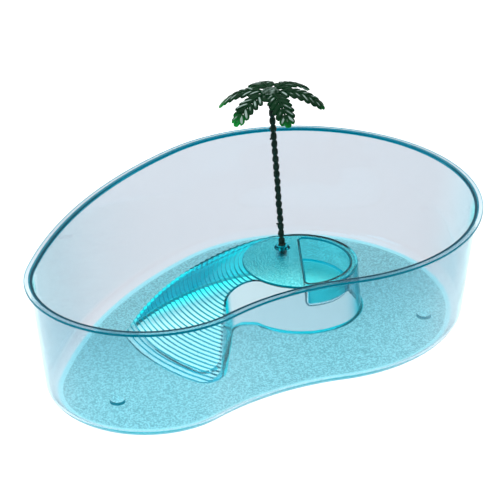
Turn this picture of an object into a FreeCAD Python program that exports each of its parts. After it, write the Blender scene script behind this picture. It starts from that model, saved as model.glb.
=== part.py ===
"""Turtle tank: a kidney-shaped clear basin with a terraced ramp, a food well and a plug-in palm.

Millimetres, +Z up. The long axis of the tank is X, with its small lobe at -X and its big lobe at +X.
The origin is at the underside, below the middle of the rim's length and width.
"""
import FreeCAD, Part
import math
import os
import re

import Sketcher

NAME = "turtle_tank"

# Every driving size, under the alias that it has in the sheet: millimetres, degrees or a count
SIZES = {
    # Rim outline: two lobes, a bulging back flank and a hollow front flank, all tangent
    "big_lobe_radius": 134.0,
    "small_lobe_radius": 84.0,
    "lobe_spacing": 162.0,
    "back_flank_radius": 371.0,
    "front_hollow_radius": 174.0,
    # Basin wall
    "tank_height": 89.0,
    "wall": 2.0,
    "draft": 5.5,
    "rim_overhang": 4.0,
    "rim_thickness": 1.8,
    "rim_edge_bevel": 0.5,
    "rim_bend_radius": 1.2,
    "floor_bend_radius": 9.0,
    # Raised island: a round platform and a ramp of concentric steps
    "platform_height": 38.5,
    "platform_radius": 43.3,
    "island_draft": 5.0,
    "step_count": 30,
    "step_tread": 3.18,
    "ramp_back_radius": 136.8,
    "ramp_back_bearing": 223.0,
    "ramp_front_distance": 49.3,
    "ramp_front_bearing": 38.1,
    "ramp_corner_radius": 12.0,
    "ramp_notch_radius": 13.5,
    "hollow_end_gap": 10.0,
    # Food well sunk in the platform
    "well_radius": 37.0,
    "well_side_distance": 2.0,
    "well_bearing": -45.0,
    "well_depth": 18.5,
    "well_draft": 3.0,
    "well_corner_radius": 3.5,
    "well_floor_bend": 2.0,
    # Socket for the palm
    "socket_x": 6.25,
    "socket_y": 23.5,
    "collar_radius": 6.5,
    "collar_top_radius": 4.6,
    "collar_height": 2.0,
    "socket_depth": 10.0,
    "socket_clearance": 0.15,
    # Pips on the basin floor
    "pip_radius": 5.6,
    "pip_height": 2.5,
    "pip_bevel": 0.6,
    "small_pip_reach": 193.0,
    "pair_pip_x": 47.0,
    "pair_pip_y": 82.0,
    # Palm trunk
    "plug_radius": 2.2,
    "plug_end_gap": 0.5,
    "trunk_foot_radius": 3.0,
    "trunk_foot_height": 1.6,
    "trunk_length": 119.5,
    "trunk_lean": 4.3,
    "trunk_lean_bearing": 132.0,
    "core_radius": 1.7,
    "bead_radius": 2.4,
    "bead_length": 4.6,
    "bead_crown_length": 1.2,
    "bead_pitch": 6.18,
    "bead_count": 19,
    "first_bead": 4.0,
    "peg_radius": 1.4,
    "peg_length": 5.0,
    "peg_clearance": 0.15,
    # Palm crown
    "hub_radius": 7.5,
    "hub_waist_height": 4.0,
    "hub_height": 9.0,
    "hub_foot_radius": 3.6,
    "frond_count": 6,
    "frond_crest_reach": 12.0,
    "frond_crest_height": 7.0,
    "frond_bend_radius": 35.5,
    "frond_thickness": 1.4,
    "frond_reach": 39.6,
    "rib_width": 2.0,
    "rib_height": 0.8,
    "leaflet_count": 6,
    "leaflet_pitch": 5.0,
    "first_leaflet": 8.0,
    "leaflet_slant": 48.0,
    "leaflet_half_width": 1.8,
    "leaflet_length": 10.0,
    "tip_half_width": 3.0,
}

doc = FreeCAD.newDocument(NAME)
sheet = doc.addObject("Spreadsheet::Sheet", "Sizes")
for row, (alias, number) in enumerate(SIZES.items(), 1):
    sheet.set("A%d" % row, alias)
    sheet.set("B%d" % row, str(number))
    sheet.setAlias("B%d" % row, alias)
doc.recompute()

BIG_LOBE_X = "(lobe_spacing + small_lobe_radius - big_lobe_radius) / 2"
RAMP_REACH = "platform_radius + step_count * step_tread"
STEP_RISE = "(platform_height - wall) / (step_count + 1)"
PLATFORM_FOOT_RADIUS = "(platform_radius + (platform_height - wall) * tan(island_draft * 1deg))"
BACK_CENTRE_REACH = "(ramp_back_radius - %s)" % PLATFORM_FOOT_RADIUS


def linked(formula):
    """The formula with each alias pointed at the sheet."""

    def point(word):
        return "Sizes." + word.group() if word.group() in SIZES else word.group()

    return re.sub(r"[a-z]\w*", point, formula)


def value(formula):
    """What a formula gives now."""
    found = sheet.evalExpression(linked(formula))
    return float(getattr(found, "Value", found))


def bind(target, **formulas):
    """Ties properties to the sheet. Two underscores in a name stand for a dot."""
    for name, formula in formulas.items():
        target.setExpression(name.replace("__", "."), linked(formula))


def point_at(x, y):
    return FreeCAD.Vector(x, y, 0)


def polar(reach, bearing):
    """The point at a distance and a bearing in radians from the origin."""
    return point_at(reach * math.cos(bearing), reach * math.sin(bearing))


def touch(first, first_radius, second, second_radius):
    """The point where two tangent circles touch."""
    if first_radius < second_radius:
        first, first_radius, second = second, second_radius, first
    return first + (second - first).normalize() * first_radius


def crossing(first, first_radius, second, second_radius, side):
    """Where two circles cross, on the left (+1) or right (-1) of the way from the first to the second."""
    across = second - first
    spacing = across.Length
    along = (spacing ** 2 + first_radius ** 2 - second_radius ** 2) / (2 * spacing)
    aside = side * math.sqrt(first_radius ** 2 - along ** 2)
    ahead = across.normalize()
    return first + ahead * along + point_at(-ahead.y, ahead.x) * aside


# Sketches

def plane_of(body, role):
    return next(item for item in body.Origin.OriginFeatures if item.Role == role)


def new_sketch(body, name, role="XY_Plane", height="0"):
    """A sketch on one of the body's own planes, lifted by a height along the plane's normal."""
    sketch = body.newObject("Sketcher::SketchObject", name)
    sketch.AttachmentSupport = (plane_of(body, role), [""])
    sketch.MapMode = "FlatFace"
    bind(sketch, AttachmentOffset__Base__z=height)
    return sketch


def dimension(sketch, kind, places, formula):
    """A sketch dimension that the sheet drives."""
    amount = math.radians(value(formula)) if kind == "Angle" else value(formula)
    index = sketch.addConstraint(Sketcher.Constraint(kind, *places, amount))
    sketch.setExpression("Constraints[%d]" % index, linked(formula))


def place_point(sketch, item, end, x, y):
    """Ties a point of the sketch to the origin along both axes."""
    dimension(sketch, "DistanceX", (-1, 1, item, end), x)
    dimension(sketch, "DistanceY", (-1, 1, item, end), y)


def heading(piece, at_end):
    """The direction in which a piece leaves its start or reaches its end."""
    start, end, *arc = piece
    if not arc:
        return (end - start).normalize()
    centre, turns_left = arc
    spoke = ((end if at_end else start) - centre).normalize()
    return point_at(-spoke.y, spoke.x) if turns_left else point_at(spoke.y, -spoke.x)


def closed_loop(sketch, pieces, hold_level=True):
    """Draws a closed loop of lines and arcs, tangent to each other wherever their directions agree.

    A piece is its start, its end and, for an arc, the centre and whether it turns left.
    Lines along an axis of the sketch are held so, unless the loop's other dimensions do it.
    """
    ends = []
    for start, end, *arc in pieces:
        if not arc:
            item = sketch.addGeometry(Part.LineSegment(start, end))
            ends.append((item, 1, 2))
            continue
        centre, turns_left = arc
        low, high = (start, end) if turns_left else (end, start)
        begin = math.atan2(low.y - centre.y, low.x - centre.x)
        finish = math.atan2(high.y - centre.y, high.x - centre.x)
        if finish < begin:
            finish += 2 * math.pi
        circle = Part.Circle(centre, FreeCAD.Vector(0, 0, 1), (low - centre).Length)
        item = sketch.addGeometry(Part.ArcOfCircle(circle, begin, finish))
        ends.append((item, 1, 2) if turns_left else (item, 2, 1))
    joints = zip(pieces, pieces[1:] + pieces[:1], ends, ends[1:] + ends[:1])
    for piece, next_piece, (item, _, finish), (next_item, begin, _) in joints:
        apart = (heading(piece, True) - heading(next_piece, False)).Length
        kind = "Tangent" if apart < 1e-6 else "Coincident"
        sketch.addConstraint(Sketcher.Constraint(kind, item, finish, next_item, begin))
    for item, (start, end, *arc) in enumerate(pieces):
        if arc or not hold_level:
            continue
        if abs(end.y - start.y) < 1e-9:
            sketch.addConstraint(Sketcher.Constraint("Horizontal", item))
        elif abs(end.x - start.x) < 1e-9:
            sketch.addConstraint(Sketcher.Constraint("Vertical", item))


def outline_through(corners):
    """Straight pieces through corners, back to the first."""
    return list(zip(corners, corners[1:] + corners[:1]))


# Outlines, each an inset of the one at its widest level

def kidney(inset):
    """The arcs of the rim's outline moved inwards: start, end, centre and whether the arc turns left."""
    big = value("big_lobe_radius - (%s)" % inset)
    back = value("back_flank_radius - (%s)" % inset)
    small = value("small_lobe_radius - (%s)" % inset)
    front = value("front_hollow_radius + (%s)" % inset)
    big_centre = point_at(value(BIG_LOBE_X), 0)
    small_centre = big_centre - point_at(value("lobe_spacing"), 0)
    back_centre = crossing(big_centre, back - big, small_centre, back - small, 1)
    front_centre = crossing(big_centre, front + big, small_centre, front + small, 1)
    big_back = touch(big_centre, big, back_centre, back)
    back_small = touch(back_centre, back, small_centre, small)
    small_front = touch(small_centre, small, front_centre, front)
    front_big = touch(front_centre, front, big_centre, big)
    return [
        (front_big, big_back, big_centre, True),
        (big_back, back_small, back_centre, True),
        (back_small, small_front, small_centre, True),
        (small_front, front_big, front_centre, False),
    ]


def basin_outline(name, inset):
    """A level outline of the basin, this far inside the rim's."""
    sketch = doc.addObject("Sketcher::SketchObject", name)
    closed_loop(sketch, kidney(inset))
    dimension(sketch, "Radius", (0,), "big_lobe_radius - (%s)" % inset)
    dimension(sketch, "Radius", (1,), "back_flank_radius - (%s)" % inset)
    dimension(sketch, "Radius", (2,), "small_lobe_radius - (%s)" % inset)
    dimension(sketch, "Radius", (3,), "front_hollow_radius + (%s)" % inset)
    place_point(sketch, 0, 3, BIG_LOBE_X, "0")
    place_point(sketch, 2, 3, BIG_LOBE_X + " - lobe_spacing", "0")
    return sketch


def island_outline(body, name, inset, end_inset, height):
    """The plan of platform and ramp about the platform's centre, moved inwards by the insets."""
    sketch = new_sketch(body, name, height=height)
    radii = {
        "back": "ramp_back_radius - (%s)" % inset,
        "corner": "ramp_corner_radius - (%s)" % inset,
        "end": RAMP_REACH + " - (%s)" % end_inset,
        "notch": "ramp_notch_radius + (%s)" % inset,
        "platform": PLATFORM_FOOT_RADIUS + " - (%s)" % inset,
    }
    order = ("back", "corner", "end", "notch", "platform")
    back, corner, end, notch, platform = (value(radii[key]) for key in order)
    origin = point_at(0, 0)
    back_centre = polar(value(BACK_CENTRE_REACH), math.radians(value("ramp_back_bearing")))
    ahead = polar(1, math.radians(value("ramp_front_bearing")))
    outward = point_at(ahead.y, -ahead.x)
    front_distance = "ramp_front_distance + (%s)" % inset
    front = -value(front_distance)

    def beside_front(offset, reach):
        """The point this far out of the front line and this far from the centre, towards the ramp's foot."""
        aside = front + offset
        return outward * aside - ahead * math.sqrt(reach ** 2 - aside ** 2)

    back_corner = crossing(back_centre, back - corner, origin, end - corner, 1)
    front_corner = beside_front(-corner, end - corner)
    notch_centre = beside_front(notch, platform + notch)
    platform_back = touch(back_centre, back, origin, platform)
    back_start = touch(back_centre, back, back_corner, corner)
    back_stop = touch(origin, end, back_corner, corner)
    front_start = touch(origin, end, front_corner, corner)
    front_stop = front_corner + outward * corner
    notch_start = notch_centre - outward * notch
    notch_stop = touch(origin, platform, notch_centre, notch)
    closed_loop(sketch, [
        (platform_back, back_start, back_centre, True),
        (back_start, back_stop, back_corner, True),
        (back_stop, front_start, origin, True),
        (front_start, front_stop, front_corner, True),
        (front_stop, notch_start),
        (notch_start, notch_stop, notch_centre, False),
        (notch_stop, platform_back, origin, True),
    ])
    for item, key in ((0, "back"), (1, "corner"), (2, "end"), (3, "corner"), (5, "notch"), (6, "platform")):
        dimension(sketch, "Radius", (item,), radii[key])
    for item in (2, 6):
        sketch.addConstraint(Sketcher.Constraint("Coincident", item, 3, -1, 1))
    dimension(sketch, "Distance", (-1, 1, 4), front_distance)
    dimension(sketch, "Angle", (4,), "ramp_front_bearing * 1deg")
    dimension(sketch, "DistanceX", (-1, 1, 0, 3), BACK_CENTRE_REACH + " * cos(ramp_back_bearing * 1deg)")
    return sketch


def well_outline(body, name, inset, height):
    """The D of the food well: an arc about the platform's centre and a straight side, with rounded corners."""
    sketch = new_sketch(body, name, height=height)
    radius_formula = "well_radius - (%s)" % inset
    corner_formula = "well_corner_radius - (%s)" % inset
    side_formula = "well_side_distance + (%s)" % inset
    radius, corner, side = value(radius_formula), value(corner_formula), value(side_formula)
    origin = point_at(0, 0)
    corner_x = side + corner
    corner_y = math.sqrt((radius - corner) ** 2 - corner_x ** 2)
    high, low = point_at(corner_x, corner_y), point_at(corner_x, -corner_y)
    arc_high = touch(origin, radius, high, corner)
    arc_low = touch(origin, radius, low, corner)
    side_high, side_low = point_at(side, corner_y), point_at(side, -corner_y)
    closed_loop(sketch, [
        (arc_low, arc_high, origin, True),
        (arc_high, side_high, high, True),
        (side_high, side_low),
        (side_low, arc_low, low, True),
    ])
    sketch.addConstraint(Sketcher.Constraint("Coincident", 0, 3, -1, 1))
    dimension(sketch, "Radius", (0,), radius_formula)
    for item in (1, 3):
        dimension(sketch, "Radius", (item,), corner_formula)
    dimension(sketch, "DistanceX", (-1, 1, 2, 1), side_formula)
    return sketch


# Features

def new_body(name):
    return doc.addObject("PartDesign::Body", name)


def loft(body, kind, name, bottom, top):
    """Walls straight from one outline to the other."""
    feature = body.newObject("PartDesign::" + kind, name)
    feature.Profile = (bottom, [""])
    feature.Sections = [(top, [""])]
    feature.Ruled = True
    body.Tip = feature
    doc.recompute()
    return feature


def revolve(body, kind, name, sketch):
    """A full turn about the body's upright axis."""
    feature = body.newObject("PartDesign::" + kind, name)
    feature.Profile = (sketch, [""])
    feature.ReferenceAxis = (sketch, ["V_Axis"])
    feature.Angle = 360
    body.Tip = feature
    doc.recompute()
    return feature


def pad(body, name, sketch, length, **settings):
    feature = body.newObject("PartDesign::Pad", name)
    feature.Profile = (sketch, [""])
    bind(feature, Length=length)
    for key, setting in settings.items():
        setattr(feature, key, setting)
    body.Tip = feature
    doc.recompute()
    return feature


def edges_at(feature, level):
    """The names of the edges that lie wholly at one level."""
    boxes = [edge.BoundBox for edge in feature.Shape.Edges]
    return [
        "Edge%d" % number for number, box in enumerate(boxes, 1)
        if abs(box.ZMin - level) < 1e-4 and abs(box.ZMax - level) < 1e-4
    ]


def fillet(body, name, radius, level):
    """Rounds the edges of the body's last feature at one level."""
    base = body.Tip
    feature = body.newObject("PartDesign::Fillet", name)
    feature.Base = (base, edges_at(base, level))
    bind(feature, Radius=radius)
    body.Tip = feature
    doc.recompute()
    return feature


# Basin: the wall's profile turned about the centre of each arc of the outline, and a flat floor

def wall_inset(level):
    """How far inside the rim's outline the wall's outer face is at a level."""
    return "rim_overhang + (tank_height - (%s)) * tan(draft * 1deg)" % level


FLOOR_INSET = "(%s + wall + floor_bend_radius)" % wall_inset("wall")


def wall_profile():
    """The wall from the rim's edge, at X 0, inwards to the floor's edge."""
    sketch = doc.addObject("Sketcher::SketchObject", "WallProfile")
    sketch.Placement = FreeCAD.Placement(FreeCAD.Vector(), FreeCAD.Rotation(FreeCAD.Vector(1, 0, 0), 90))
    height, thickness, wall = value("tank_height"), value("rim_thickness"), value("wall")
    edge, bend, inner = value("rim_edge_bevel"), value("rim_bend_radius"), value("floor_bend_radius")
    outer = inner + wall
    slope = math.radians(value("draft"))
    floor_edge = value(FLOOR_INSET)
    down = point_at(math.sin(slope), -math.cos(slope))
    inwards = point_at(math.cos(slope), math.sin(slope))
    under_rim = point_at(value(wall_inset("tank_height - rim_thickness")), height - thickness)

    def on_face(offset, level):
        """The point at a level on the line this far inside the wall's outer face."""
        start = under_rim + inwards * offset
        return start + down * ((start.y - level) / math.cos(slope))

    bend_centre = on_face(wall - bend, height - bend)
    foot_centre = on_face(outer, outer)
    edge_high, edge_low = height - edge, height - thickness + edge
    closed_loop(sketch, [
        (point_at(bend_centre.x, height), point_at(edge, height)),
        (point_at(edge, height), point_at(0, edge_high)),
        (point_at(0, edge_high), point_at(0, edge_low)),
        (point_at(0, edge_low), point_at(edge, height - thickness)),
        (point_at(edge, height - thickness), under_rim),
        (under_rim, foot_centre - inwards * outer),
        (foot_centre - inwards * outer, point_at(foot_centre.x, 0), foot_centre, True),
        (point_at(foot_centre.x, 0), point_at(floor_edge, 0)),
        (point_at(floor_edge, 0), point_at(floor_edge, wall)),
        (point_at(floor_edge, wall), point_at(foot_centre.x, wall)),
        (point_at(foot_centre.x, wall), foot_centre - inwards * inner, foot_centre, False),
        (foot_centre - inwards * inner, bend_centre + inwards * bend),
        (bend_centre + inwards * bend, point_at(bend_centre.x, height), bend_centre, True),
    ])
    for item in (1, 3):
        across = (item, 2, item, 1) if item == 1 else (item, 1, item, 2)
        dimension(sketch, "DistanceX", across, "rim_edge_bevel")
        dimension(sketch, "DistanceY", (item, 2, item, 1), "rim_edge_bevel")
    dimension(sketch, "Radius", (6,), "floor_bend_radius + wall")
    dimension(sketch, "Radius", (10,), "floor_bend_radius")
    dimension(sketch, "Radius", (12,), "rim_bend_radius")
    place_point(sketch, 4, 2, wall_inset("tank_height - rim_thickness"), "tank_height - rim_thickness")
    dimension(sketch, "DistanceY", (-1, 1, 0, 2), "tank_height")
    dimension(sketch, "DistanceX", (-1, 1, 2, 1), "0")
    dimension(sketch, "DistanceY", (-1, 1, 7, 2), "0")
    place_point(sketch, 8, 2, FLOOR_INSET, "wall")
    dimension(sketch, "Distance", (5, 1, 11), "wall")
    dimension(sketch, "Angle", (5,), "(draft - 90) * 1deg")
    sketch.addConstraint(Sketcher.Constraint("Parallel", 5, 11))
    return sketch


def wall_sector(name, arc, radius):
    """The wall along one arc of the outline: the profile turned about the arc's centre."""
    start, end, centre, turns_left = arc
    if not turns_left:
        start, end = end, start
    begin = math.atan2(start.y - centre.y, start.x - centre.x)
    finish = math.atan2(end.y - centre.y, end.x - centre.x)
    sector = doc.addObject("Part::Revolution", name)
    sector.Source = wall_shape
    sector.Axis = FreeCAD.Vector(0, 0, 1)
    sector.Angle = math.degrees((finish - begin) % (2 * math.pi))
    sector.Solid = True
    bind(sector, Base__x=radius if turns_left else "-(%s)" % radius)
    turn = begin + math.pi if turns_left else begin
    rotation = FreeCAD.Rotation(FreeCAD.Vector(0, 0, 1), math.degrees(turn))
    sector.Placement = FreeCAD.Placement(start, rotation)
    return sector


wall_shape = wall_profile()
rim_arcs = kidney("0")
sectors = [
    wall_sector("BigLobeWall", rim_arcs[0], "big_lobe_radius"),
    wall_sector("BackWall", rim_arcs[1], "back_flank_radius"),
    wall_sector("SmallLobeWall", rim_arcs[2], "small_lobe_radius"),
    wall_sector("FrontWall", rim_arcs[3], "front_hollow_radius"),
]
floor = doc.addObject("Part::Extrusion", "Floor")
floor.Base = basin_outline("FloorOutline", FLOOR_INSET)
floor.DirMode = "Custom"
floor.Dir = FreeCAD.Vector(0, 0, 1)
floor.Solid = True
bind(floor, LengthFwd="wall")
doc.recompute()
basin = doc.addObject("Part::MultiFuse", "Basin")
basin.Shapes = sectors + [floor]

# Island: a drafted plan outline, cut off above by the stairs


def island_inset(level, extra="0"):
    """How far inside its foot the island's side is at a level, plus what is added."""
    return "((%s) - wall) * tan(island_draft * 1deg) + %s" % (level, extra)


def over_stairs(body):
    """The section of all that lies above the platform and the steps."""
    sketch = new_sketch(body, "OverSteps", "XZ_Plane")
    level, reach = value("platform_height"), value("platform_radius")
    rise, tread, steps = value(STEP_RISE), value("step_tread"), int(value("step_count"))
    over = level + value("step_tread")
    corners = [point_at(0, over), point_at(0, level)]
    for step in range(steps + 1):
        corners.append(point_at(reach + step * tread, level - step * rise))
        corners.append(point_at(reach + step * tread, level - (step + 1) * rise))
    outside = reach + (steps + 2) * tread
    corners += [point_at(outside, corners[-1].y), point_at(outside, over)]
    closed_loop(sketch, outline_through(corners))
    first_tread = 3
    for step in range(1, steps):
        sketch.addConstraint(Sketcher.Constraint("Equal", first_tread, first_tread + 2 * step))
    for step in range(1, steps + 1):
        sketch.addConstraint(Sketcher.Constraint("Equal", first_tread - 1, first_tread - 1 + 2 * step))
    place_point(sketch, 1, 1, "0", "platform_height")
    dimension(sketch, "DistanceX", (1, 1, 1, 2), "platform_radius")
    dimension(sketch, "DistanceX", (first_tread, 1, first_tread, 2), "step_tread")
    dimension(sketch, "DistanceY", (first_tread - 1, 2, first_tread - 1, 1), STEP_RISE)
    dimension(sketch, "DistanceY", (-1, 1, 0, 1), "platform_height + step_tread")
    dimension(sketch, "DistanceX", (-1, 1, len(corners) - 2, 1), RAMP_REACH + " + 2 * step_tread")
    return sketch


def over_ceiling(body):
    """The section of all that lies above the ceiling of the hollow, a wall below the steps' inner corners."""
    sketch = new_sketch(body, "OverCeiling", "XZ_Plane")
    level = value("platform_height - wall")
    reach, tread, end = value("platform_radius"), value("step_tread"), value(RAMP_REACH)
    closed_loop(sketch, outline_through([
        point_at(0, level + tread),
        point_at(0, level),
        point_at(reach - tread, level),
        point_at(end, 0),
        point_at(end, level + tread),
    ]))
    place_point(sketch, 1, 1, "0", "platform_height - wall")
    dimension(sketch, "DistanceX", (1, 1, 1, 2), "platform_radius - step_tread")
    place_point(sketch, 3, 1, RAMP_REACH, "0")
    dimension(sketch, "DistanceY", (0, 2, 0, 1), "step_tread")
    return sketch


island = new_body("Island")
loft(
    island, "AdditiveLoft", "IslandSides",
    island_outline(island, "IslandFoot", island_inset("0"), island_inset("0"), "0"),
    island_outline(
        island, "IslandTop", island_inset("platform_height + 1"), island_inset("platform_height + 1"),
        "platform_height + 1",
    ),
)
revolve(island, "Groove", "Steps", over_stairs(island))

hollow = new_body("Hollow")
loft(
    hollow, "AdditiveLoft", "HollowSides",
    island_outline(hollow, "HollowFoot", island_inset("-1", "wall"), island_inset("-1", "hollow_end_gap"), "-1"),
    island_outline(
        hollow, "HollowTop", island_inset("platform_height", "wall"),
        island_inset("platform_height", "hollow_end_gap"), "platform_height",
    ),
)
revolve(hollow, "Groove", "Ceiling", over_ceiling(hollow))

# Food well: its cavity, and its outside that hangs in the hollow

def well_body(name, top, bottom, extra, bend):
    """The D, narrowing downwards between two heights from the platform, with its foot rounded."""
    body = new_body(name)
    inset = "-(%s) * tan(well_draft * 1deg) + (%s)" % (top, extra)
    outline = well_outline(body, name + "Outline", inset, "platform_height + (%s)" % top)
    sides = pad(body, name + "Sides", outline, "(%s) - (%s)" % (top, bottom), Reversed=True)
    bind(sides, TaperAngle="-well_draft")
    doc.recompute()
    fillet(body, name + "Bend", bend, value("platform_height + (%s)" % bottom))
    bind(body, Placement__Rotation__Angle="well_bearing")
    return body


well_cavity = well_body("WellCavity", "wall", "-well_depth", "0", "well_floor_bend")
well_outside = well_body(
    "WellOutside", "-wall / 2", "-(well_depth + wall)", "-wall", "well_floor_bend + wall",
)

# Socket: a flared collar on the platform and a closed tube below it


def cylinder(name, radius, bottom, top, x="0", y="0"):
    """An upright cylinder between two levels."""
    body = doc.addObject("Part::Cylinder", name)
    bind(
        body, Radius=radius, Height="(%s) - (%s)" % (top, bottom),
        Placement__Base__x=x, Placement__Base__y=y, Placement__Base__z=bottom,
    )
    return body


SOCKET = {"x": "socket_x", "y": "socket_y"}
BORE_RADIUS = "plug_radius + socket_clearance"
COLLAR_TOP = "platform_height + collar_height"
BORE_FLOOR = "(%s - socket_depth)" % COLLAR_TOP
collar = doc.addObject("Part::Cone", "Collar")
bind(
    collar, Radius1="collar_radius", Radius2="collar_top_radius", Height="collar_height",
    Placement__Base__x="socket_x", Placement__Base__y="socket_y", Placement__Base__z="platform_height",
)
socket_tube = cylinder(
    "SocketTube", BORE_RADIUS + " + wall", BORE_FLOOR + " - wall", "platform_height - wall / 2", **SOCKET,
)
socket_bore = cylinder("SocketBore", BORE_RADIUS, BORE_FLOOR, COLLAR_TOP + " + wall", **SOCKET)

# Pips on the basin floor


def pip(name, x, y):
    """A bevelled disc that stands on the floor, measured from the platform's centre."""
    body = new_body(name)
    sketch = new_sketch(body, name + "Outline", height="wall / 2")
    sketch.addGeometry(Part.Circle(point_at(0, 0), FreeCAD.Vector(0, 0, 1), value("pip_radius")))
    sketch.addConstraint(Sketcher.Constraint("Coincident", 0, 3, -1, 1))
    dimension(sketch, "Radius", (0,), "pip_radius")
    pad(body, name + "Disc", sketch, "wall / 2 + pip_height")
    level = value("wall + pip_height")
    disc = body.Tip
    bevel = body.newObject("PartDesign::Chamfer", name + "Bevel")
    bevel.Base = (disc, edges_at(disc, level))
    bind(bevel, Size="pip_bevel")
    body.Tip = bevel
    bind(body, Placement__Base__x="%s + (%s)" % (BIG_LOBE_X, x), Placement__Base__y=y)
    return body


pips = [
    pip("SmallLobePip", "-small_pip_reach", "0"),
    pip("FrontPip", "pair_pip_x", "-pair_pip_y"),
    pip("BackPip", "pair_pip_x", "pair_pip_y"),
]

# Tank: everything that is moulded in one

for piece in (island, hollow, well_cavity, well_outside):
    bind(piece, Placement__Base__x=BIG_LOBE_X)
for piece in (collar, socket_tube, socket_bore):
    bind(piece, Placement__Base__x="%s + socket_x" % BIG_LOBE_X)

raised = doc.addObject("Part::MultiFuse", "BasinAndIsland")
raised.Shapes = [basin, island, collar] + pips
hanging = doc.addObject("Part::MultiFuse", "WellAndSocketOutside")
hanging.Shapes = [well_outside, socket_tube]
underside = doc.addObject("Part::Cut", "Underside")
underside.Base = hollow
underside.Tool = hanging
cavities = doc.addObject("Part::MultiFuse", "Cavities")
cavities.Shapes = [underside, well_cavity, socket_bore]
tank = doc.addObject("Part::Cut", "tank")
tank.Base = raised
tank.Tool = cavities

# Palm trunk: an upright foot and plug, and a leaning beaded stem


def placed_on_axis(body, length):
    """Stands a body on the trunk's leaning axis, this far up from the socket."""
    bearing = "trunk_lean_bearing * 1deg"
    lean = "sin(trunk_lean * 1deg)"
    bind(
        body,
        Placement__Base__x="%s + socket_x + (%s) * %s * cos(%s)" % (BIG_LOBE_X, length, lean, bearing),
        Placement__Base__y="socket_y + (%s) * %s * sin(%s)" % (length, lean, bearing),
        Placement__Base__z="%s + (%s) * cos(trunk_lean * 1deg)" % (COLLAR_TOP, length),
    )
    axis = FreeCAD.Vector(-math.sin(math.radians(value("trunk_lean_bearing"))),
                          math.cos(math.radians(value("trunk_lean_bearing"))), 0)
    body.Placement = FreeCAD.Placement(body.Placement.Base, FreeCAD.Rotation(axis, value("trunk_lean")))
    return body


def circle_pad(body, name, radius, bottom, top):
    """A round bar between two levels of the body's own axis."""
    sketch = new_sketch(body, name + "Outline", height=bottom)
    sketch.addGeometry(Part.Circle(point_at(0, 0), FreeCAD.Vector(0, 0, 1), value(radius)))
    sketch.addConstraint(Sketcher.Constraint("Coincident", 0, 3, -1, 1))
    dimension(sketch, "Radius", (0,), radius)
    return pad(body, name, sketch, "(%s) - (%s)" % (top, bottom))


def bead_section(body):
    """Half of one bead: a short band between two slopes down to the core."""
    sketch = new_sketch(body, "BeadSection", "XZ_Plane")
    core, bulge = value("core_radius"), value("bead_radius")
    middle, half, crown_half = value("first_bead"), value("bead_length") / 2, value("bead_crown_length") / 2
    closed_loop(sketch, outline_through([
        point_at(core / 2, middle - half),
        point_at(core, middle - half),
        point_at(bulge, middle - crown_half),
        point_at(bulge, middle + crown_half),
        point_at(core, middle + half),
        point_at(core / 2, middle + half),
    ]))
    place_point(sketch, 0, 1, "core_radius / 2", "first_bead - bead_length / 2")
    dimension(sketch, "DistanceX", (-1, 1, 1, 1), "core_radius")
    place_point(sketch, 2, 1, "bead_radius", "first_bead - bead_crown_length / 2")
    dimension(sketch, "DistanceY", (-1, 1, 2, 2), "first_bead + bead_crown_length / 2")
    place_point(sketch, 4, 1, "core_radius", "first_bead + bead_length / 2")
    return sketch


stem = new_body("Stem")
circle_pad(stem, "Core", "core_radius", "0", "trunk_length")
circle_pad(stem, "Peg", "peg_radius", "trunk_length", "trunk_length + peg_length")
bead = revolve(stem, "Revolution", "Bead", bead_section(stem))
beads = stem.newObject("PartDesign::LinearPattern", "Beads")
beads.Originals = [bead]
beads.Direction = (stem.Group[0], ["N_Axis"])
bind(beads, Length="bead_pitch * (bead_count - 1)", Occurrences="bead_count")
stem.Tip = beads
doc.recompute()
placed_on_axis(stem, "0")

plug = cylinder("Plug", "plug_radius", BORE_FLOOR + " + plug_end_gap", COLLAR_TOP, **SOCKET)
foot = doc.addObject("Part::Cone", "TrunkFoot")
bind(
    foot, Radius1="trunk_foot_radius", Radius2="core_radius", Height="trunk_foot_height",
    Placement__Base__x="socket_x", Placement__Base__y="socket_y", Placement__Base__z=COLLAR_TOP,
)
for piece in (plug, foot):
    bind(piece, Placement__Base__x="%s + socket_x" % BIG_LOBE_X)
trunk = doc.addObject("Part::MultiFuse", "palm_trunk")
trunk.Shapes = [stem, plug, foot]

# Palm crown: a hub and drooping fronds, each a midrib with paired round-ended leaflets


def lobe_outline(body, name, root_x, tip_x, tip_y, half_width):
    """A round-ended finger from a point on the midrib to its tip's centre."""
    sketch = new_sketch(body, name, height="-frond_bend_radius")
    root = point_at(value(root_x), 0)
    tip = point_at(value(tip_x), value(tip_y))
    ahead = (tip - root).normalize()
    left = point_at(-ahead.y, ahead.x) * value(half_width)
    closed_loop(sketch, [
        (root - left, tip - left),
        (tip - left, tip + left, tip, True),
        (tip + left, root + left),
        (root + left, root - left, root, True),
    ], hold_level=False)
    place_point(sketch, 3, 3, root_x, "0")
    place_point(sketch, 1, 3, tip_x, tip_y)
    dimension(sketch, "Radius", (1,), half_width)
    return sketch


def bend_arc(radius_formula, start_x, end_x):
    """An arc of the frond's bend between two reaches: start, end and centre."""
    radius = value(radius_formula)
    centre = point_at(value("frond_crest_reach"), value("frond_crest_height - frond_bend_radius"))

    def on_arc(x):
        return point_at(x, centre.y + math.sqrt(radius ** 2 - (x - centre.x) ** 2))

    return on_arc(value(start_x)), on_arc(value(end_x)), centre


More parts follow.
